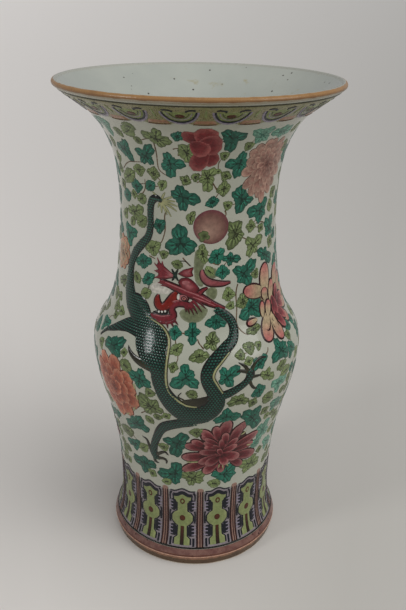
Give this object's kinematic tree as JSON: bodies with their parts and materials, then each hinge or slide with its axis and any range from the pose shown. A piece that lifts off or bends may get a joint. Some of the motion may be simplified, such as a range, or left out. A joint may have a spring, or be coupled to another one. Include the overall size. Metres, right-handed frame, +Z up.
{
  "type": "yen yen vase",
  "caption": "Tall enamelled porcelain vase with a trumpet neck, a full belly and a spread foot, open at the mouth to hold stems.",
  "frame": {"origin": "centre of the foot ring, on the plane that the vase stands on", "axes": "+Z up along the axis of the vase, -Y towards the painted front"},
  "size_m": [0.24, 0.24, 0.44],
  "materials": {
    "biscuit": "unglazed, wiped smooth",
    "slip": "unglazed, matt",
    "glaze": "clear gloss, faintly grey-green",
    "brown_dressing": "iron brown, satin, worn",
    "green_enamel": "gloss enamel",
    "lime_enamel": "gloss enamel",
    "rose_enamel": "gloss enamel",
    "pink_enamel": "gloss enamel, flaked"
  },
  "bodies": {
    "root": {"foot_section": "biscuit", "belly_section": "biscuit", "neck_section": "biscuit", "lower_luting_slip": "slip", "neck_luting_slip": "slip", "outer_glaze": "glaze", "inner_glaze": "glaze", "base_glaze": "glaze", "lip_dressing": "brown_dressing", "foot_dressing": "brown_dressing", "rim_border_enamel": "green_enamel", "lappet_panel_enamel": "lime_enamel", "lappet_stripe_enamel": "rose_enamel", "foot_band_enamel": "pink_enamel"}
  },
  "joints": []
}
